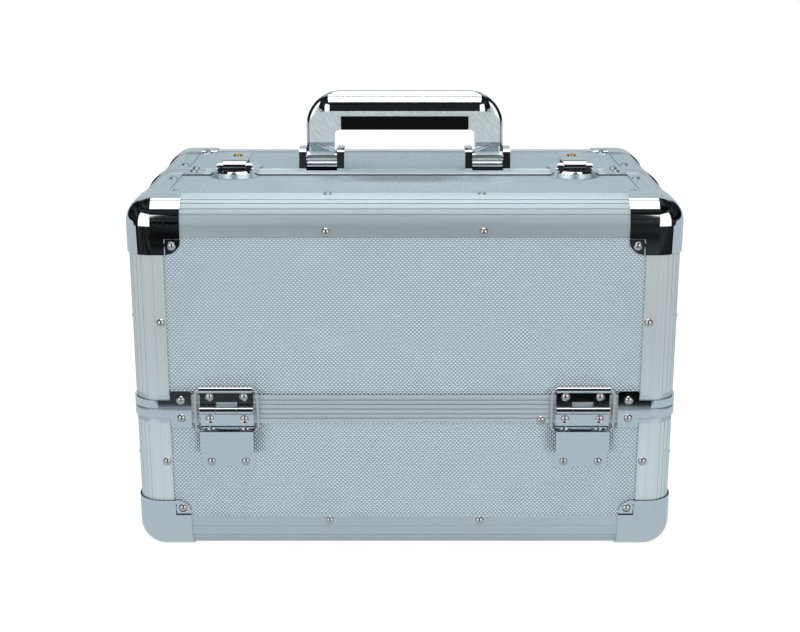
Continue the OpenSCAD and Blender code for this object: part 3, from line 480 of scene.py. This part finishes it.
# The first word found in a node's name gives its finish, and the rest are bright chrome
FINISHES = [
    ("tray", TRAY),
    ("loop", WIRE),
    ("hinge_pins", WIRE),
    ("arms", RIVET),
    ("rivet", RIVET),
    ("studs", RIVET),
    ("base_floor_panel", SHEET),
    ("panel", CORE),
    ("base_bottom_rails", LOW_RAIL),
    ("rails", RAIL),
    ("posts", POST),
    ("seam_rim", SEAM_BAND),
    ("rim", RIM_BAND),
    ("base_corner_caps", LOW_CAP),
    ("liner", LINER),
    ("feet", RUBBER),
    ("handle_arch", CASTING),
    ("handle_grip", GRIP),
    ("key_cylinder", BRASS),
]
for name, piece in nodes.items():
    finish = next((found for word, found in FINISHES if word in name), CHROME)
    piece.data.materials.clear()
    piece.data.materials.append(finish)


# ---------------------------------------------------------------- pieces made here


def mesh_object(name, bm, material):
    """Turns a finished bmesh into an object that wears a material."""
    mesh = bpy.data.meshes.new(name)
    bm.to_mesh(mesh)
    bm.free()
    mesh.materials.append(material)
    obj = bpy.data.objects.new(name, mesh)
    bpy.context.collection.objects.link(obj)
    return obj


def new_piece(name, bm, material, body):
    """A piece of the case that rides on a body."""
    piece = mesh_object(name, bm, material)
    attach(piece, body)


PITCH = 1.9 * MM  # Side of one embossed pyramid, set at 45 degrees
RISE = 0.5 * MM  # Height of a pyramid
SINK = 0.25 * MM  # Thickness of the sheet under the pyramids


def pyramid_sheet(outline, pitch, rise, sink):
    """A flat sheet of pyramids in X and Y, facing +Z, cut to a convex outline."""
    bm = bmesh.new()
    furthest = max(max(abs(x), abs(y)) for x, y in outline)
    count = int(2 * math.sqrt(2) * furthest / pitch) + 4  # Covers the outline when turned
    bmesh.ops.create_grid(bm, x_segments=count, y_segments=count, size=count * pitch / 2)
    bmesh.ops.poke(bm, faces=bm.faces[:], offset=rise)
    bmesh.ops.rotate(bm, verts=bm.verts[:], matrix=Matrix.Rotation(math.radians(45), 3, "Z"))
    for (x0, y0), (x1, y1) in zip(outline, outline[1:] + outline[:1]):
        bmesh.ops.bisect_plane(
            bm,
            geom=bm.verts[:] + bm.edges[:] + bm.faces[:],
            plane_co=(x0, y0, 0),
            plane_no=(y1 - y0, x0 - x1, 0),
            clear_outer=True,
        )
    edge = [e for e in bm.edges if e.is_boundary]
    down = bmesh.ops.extrude_edge_only(bm, edges=edge)["geom"]
    for v in down:
        if isinstance(v, bmesh.types.BMVert):
            v.co.z = -sink
    bmesh.ops.contextual_create(bm, geom=[e for e in bm.edges if e.is_boundary])
    bmesh.ops.recalc_face_normals(bm, faces=bm.faces[:])
    height = bm.verts.layers.float.new("rise")
    for v in bm.verts:
        v[height] = min(1.0, max(0.0, v.co.z / rise))
    return bm


def panel_piece(name, body, width, height, turn, place):
    """One embossed sheet of this size, turned to face outward and put in its place."""
    x, y = width / 2, height / 2
    bm = pyramid_sheet([(-x, -y), (x, -y), (x, y), (-x, y)], PITCH, RISE, SINK)
    bmesh.ops.transform(bm, matrix=Matrix.Translation(place) @ turn, verts=bm.verts[:])
    new_piece(name, bm, SHEET, body)


FACE_FRONT = Matrix.Rotation(math.radians(90), 4, "X")
FACE_REAR = Matrix.Rotation(math.radians(180), 4, "Z") @ FACE_FRONT
FACE_LEFT = Matrix.Rotation(math.radians(-90), 4, "Z") @ FACE_FRONT
FACE_RIGHT = Matrix.Rotation(math.radians(90), 4, "Z") @ FACE_FRONT
FACE_TOP = Matrix.Identity(4)

LAP = 1.0 * MM  # How far a sheet runs in under the frame
BASE_DEPTH = SKIN - 0.02 * MM  # Base of the pyramids, this far under the face of the frame
OUT_X, OUT_Y = HALF_W - BASE_DEPTH, HALF_D - BASE_DEPTH
WIDE = 2 * (HALF_W - LEG + LAP)
DEEP = 2 * (HALF_D - LEG + LAP)


def box_sheets():
    """The four embossed sheets round the box."""
    low, high = LOW_RAIL_TOP - LAP, BOX_RIM_FOOT + LAP
    tall, mid = high - low, (low + high) / 2
    panel_piece("sheet_box_front", "box", WIDE, tall, FACE_FRONT, (0, -OUT_Y, mid))
    panel_piece("sheet_box_rear", "box", WIDE, tall, FACE_REAR, (0, OUT_Y, mid))
    panel_piece("sheet_box_left", "box", DEEP, tall, FACE_LEFT, (-OUT_X, 0, mid))
    panel_piece("sheet_box_right", "box", DEEP, tall, FACE_RIGHT, (OUT_X, 0, mid))


def lid_sheets():
    """The wall, the two sides and the top of each half lid."""
    low, high = LID_RIM_TOP - LAP, TOP_RAIL_FOOT + LAP
    tall, mid = high - low, (low + high) / 2
    panel_piece("sheet_front_wall", "front_lid", WIDE, tall, FACE_FRONT, (0, -OUT_Y, mid))
    panel_piece("sheet_rear_wall", "rear_lid", WIDE, tall, FACE_REAR, (0, OUT_Y, mid))
    for side, y0, y1 in (
        ("front", -DEEP / 2, FRONT_SEAM_EDGE + LAP),
        ("rear", REAR_SEAM_EDGE - LAP, DEEP / 2),
    ):
        body, run, at = f"{side}_lid", y1 - y0, (y0 + y1) / 2
        panel_piece(f"sheet_{side}_left", body, run, tall, FACE_LEFT, (-OUT_X, at, mid))
        panel_piece(f"sheet_{side}_right", body, run, tall, FACE_RIGHT, (OUT_X, at, mid))
        panel_piece(f"sheet_{side}_top", body, WIDE, run, FACE_TOP, (0, at, TOP - BASE_DEPTH))


box_sheets()
lid_sheets()

# Corners of the knurled patch on a leg of the handle: X and height above LEG_FOOT, millimetres
KNURL_CORNERS = [(51.2, 0.7), (66.6, 0.7), (66.6, 7.6), (63.8, 7.2)]
KNURL_MID = Vector((59.0, 4.0)) * MM
KNURL_PITCH = 1.5 * MM
KNURL_RISE = 0.35 * MM
KNURL_SINK = 0.2 * MM


def knurled_feet():
    """The knurled patch on the front and rear of each foot of the handle."""
    outline = [
        (x * MM - KNURL_MID.x, z * MM / math.cos(TAPER) - KNURL_MID.y)
        for x, z in KNURL_CORNERS
    ]
    tilt = Matrix.Rotation(math.radians(90) + TAPER, 4, "X")
    low_edge = Vector((KNURL_MID.x, HANDLE_FRONT + TAPER_DEPTH, LEG_FOOT))
    up_face = Vector((0, -math.sin(TAPER), math.cos(TAPER))) * KNURL_MID.y
    on_face = Matrix.Translation(low_edge + up_face) @ tilt
    for end, side_x in (("left", -1), ("right", 1)):
        for face, side_y in (("front", 1), ("rear", -1)):
            bm = pyramid_sheet(outline, KNURL_PITCH, KNURL_RISE, KNURL_SINK)
            bmesh.ops.transform(bm, matrix=on_face, verts=bm.verts[:])
            bmesh.ops.translate(bm, vec=(0, -HANDLE_MID, 0), verts=bm.verts[:])
            bmesh.ops.scale(bm, vec=(side_x, side_y, 1), verts=bm.verts[:])
            bmesh.ops.translate(bm, vec=(0, HANDLE_MID, 0), verts=bm.verts[:])
            bmesh.ops.recalc_face_normals(bm, faces=bm.faces[:])
            new_piece(f"knurl_{end}_{face}", bm, KNURL_METAL, "handle")


knurled_feet()


# ---------------------------------------------------------------- studio


WHITE = linear("#ffffff")

# What mirrors see of the room: a pale table and wall behind the case, the dark ahead of it
ROOM = linear("#e7f7ff")
PALE = 0.6
DARK = 0.003
STREAK = 0.06
TABLE_EDGE = -0.425  # Y where the table ends, in front of the case
TABLE_FADE = 0.015
FLOOR_STREAKS = (1.2, 13.0, 1.0)  # Long from side to side
ROOM_STREAKS = (1.5, 1.5, 9.0)  # Level bands
WALL_BACK = (0.45, 0.55)  # Y of the direction to the wall, from where it is dark to pale
WALL_SIDE = (0.52, 0.62)  # X of that direction, from where it is pale to dark
FLOOR_SIZE = 15.0  # Far wider than the view


def dim_room(tree, where, stretch):
    """Faint streaks in the dark part of the room."""
    pulled = add(tree, "ShaderNodeMapping", {"Vector": where, "Scale": stretch})
    streaks = add(tree, "ShaderNodeTexNoise", {"Vector": pulled, "Scale": 1.0})
    levels = {"From Min": 0.42, "From Max": 0.75, "To Min": DARK, "To Max": STREAK}
    return add(tree, "ShaderNodeMapRange", {"Value": streaks, **levels})


def off_mirrors(tree, rays):
    """One for the rays that come off a mirror or through something clear."""
    return add(
        tree,
        "ShaderNodeMath",
        {0: rays.outputs["Is Glossy Ray"], 1: rays.outputs["Is Transmission Ray"]},
        operation="MAXIMUM",
    )


def floor_material():
    """Pale floor, white to the camera; mirrors see a table top with dark beyond it."""
    mat, tree, coords = new_material("studio_floor")
    rays = add(tree, "ShaderNodeLightPath")
    spot = add(tree, "ShaderNodeSeparateXYZ", {"Vector": coords.outputs["Object"]})
    table = add(
        tree,
        "ShaderNodeMapRange",
        {
            "Value": spot.outputs[Y],
            "From Min": TABLE_EDGE,
            "From Max": TABLE_EDGE + TABLE_FADE,
            "To Min": dim_room(tree, coords.outputs["Object"], FLOOR_STREAKS),
            "To Max": PALE,
        },
    )
    paint = add(tree, "ShaderNodeBsdfDiffuse", {"Color": linear("#c8cccf")})
    shade = add(tree, "ShaderNodeBsdfDiffuse", {"Color": linear("#6f6f6f")})
    glow = add(tree, "ShaderNodeEmission", {"Color": WHITE, "Strength": 0.92})
    seen = add(tree, "ShaderNodeAddShader", {0: shade, 1: glow})
    mirrored = add(tree, "ShaderNodeEmission", {"Color": ROOM, "Strength": table})
    plain = add(
        tree, "ShaderNodeMixShader", {0: rays.outputs["Is Camera Ray"], 1: paint, 2: seen}
    )
    both = add(
        tree, "ShaderNodeMixShader", {0: off_mirrors(tree, rays), 1: plain, 2: mirrored}
    )
    add(tree, "ShaderNodeOutputMaterial", {"Surface": both})
    return mat


def make_floor():
    """A level floor under the feet of the case."""
    bm = bmesh.new()
    bmesh.ops.create_grid(bm, x_segments=1, y_segments=1, size=FLOOR_SIZE)
    obj = mesh_object("floor", bm, floor_material())


def make_world():
    """White backdrop to the camera; mirrors see a pale wall behind, a dark room ahead."""
    world = bpy.data.worlds.new("studio")
    bpy.context.scene.world = world
    world.use_nodes = True
    world.cycles.sampling_method = "NONE"
    tree = world.node_tree
    tree.nodes.clear()
    rays = add(tree, "ShaderNodeLightPath")
    coords = add(tree, "ShaderNodeTexCoord")
    way = add(tree, "ShaderNodeSeparateXYZ", {"Vector": coords.outputs["Generated"]})
    behind = add(
        tree,
        "ShaderNodeMapRange",
        {"Value": way.outputs[Y], "From Min": WALL_BACK[0], "From Max": WALL_BACK[1]},
    )
    across = add(tree, "ShaderNodeMath", {0: way.outputs[X]}, operation="ABSOLUTE")
    within = add(
        tree,
        "ShaderNodeMapRange",
        {"Value": across, "From Min": WALL_SIDE[1], "From Max": WALL_SIDE[0]},
    )
    sheet = add(tree, "ShaderNodeMath", {0: behind, 1: within}, operation="MULTIPLY")
    dim = dim_room(tree, coords.outputs["Generated"], ROOM_STREAKS)
    wall = add(tree, "ShaderNodeMapRange", {"Value": sheet, "To Min": dim, "To Max": PALE})
    room = add(tree, "ShaderNodeBackground", {"Color": ROOM, "Strength": wall})
    soft = add(tree, "ShaderNodeBackground", {"Color": linear("#f7fdff"), "Strength": 0.5})
    white = add(tree, "ShaderNodeBackground", {"Color": WHITE})
    unseen = add(tree, "ShaderNodeMixShader", {0: off_mirrors(tree, rays), 1: soft, 2: room})
    both = add(
        tree, "ShaderNodeMixShader", {0: rays.outputs["Is Camera Ray"], 1: unseen, 2: white}
    )
    add(tree, "ShaderNodeOutputWorld", {"Surface": both})


def softbox(name, place, target, width, height, glow, mirrored):
    """A soft area lamp that faces its target; glow is what a mirror would see of it."""
    lamp = bpy.data.lights.new(name, "AREA")
    lamp.shape = "RECTANGLE"
    lamp.size, lamp.size_y = width, height
    lamp.energy = glow * width * height * math.pi
    obj = bpy.data.objects.new(name, lamp)
    obj.visible_camera = False
    obj.visible_glossy = mirrored
    bpy.context.collection.objects.link(obj)
    aim = Vector(target) - Vector(place)
    turn = aim.to_track_quat("-Z", "Y").to_matrix().to_4x4()
    obj.matrix_world = Matrix.Translation(place) @ turn


SENSOR = 36.0  # Width in millimetres
WIDTH_PX = 800  # The same width in pixels
FOCAL_PX = 1429.1
SHIFT_PX = -4.7  # Of the middle, sideways
EYE = (0, -1.0108, 0.4244)
DOWN = 15.724  # Degrees that the camera looks down


def make_camera():
    """The camera in front of the case, a little above it."""
    data = bpy.data.cameras.new("camera")
    data.sensor_width = SENSOR
    data.lens = FOCAL_PX / WIDTH_PX * SENSOR
    data.shift_x = SHIFT_PX / WIDTH_PX
    cam = bpy.data.objects.new("camera", data)
    bpy.context.collection.objects.link(cam)
    turn = Matrix.Rotation(math.radians(90 - DOWN), 4, "X")
    cam.matrix_world = Matrix.Translation(EYE) @ turn
    bpy.context.scene.camera = cam


CENTRE = (0, 0, 0.13)
SIDE_AIM = (0, 0, 0.6)
# Name, place, target, width, height, glow and whether mirrors see it. The gap between the two
# overhead lamps draws a fine dark line along every bright edge.
LAMPS = [
    ("overhead_front", (0, -0.21, 0.76), (0, -0.21, 0), 0.56, 0.36, 2.5, True),
    ("overhead_rear", (0, 0.105, 0.76), (0, 0.105, 0), 0.56, 0.15, 2.5, True),
    ("left_side", (-0.9, -1.15, 0.6), SIDE_AIM, 1.15, 1.2, 1.25, True),
    ("right_side", (0.9, -1.15, 0.6), SIDE_AIM, 1.15, 1.2, 1.25, True),
    ("front_fill", (0, -2.3, 1.3), CENTRE, 2.0, 1.2, 2.5, False),
    ("back_fill", (0, 2.3, 1.3), CENTRE, 2.0, 1.2, 2.5, False),
]

make_floor()
make_world()
for lamp in LAMPS:
    softbox(*lamp)
make_camera()

bpy.context.scene.view_settings.view_transform = "Standard"
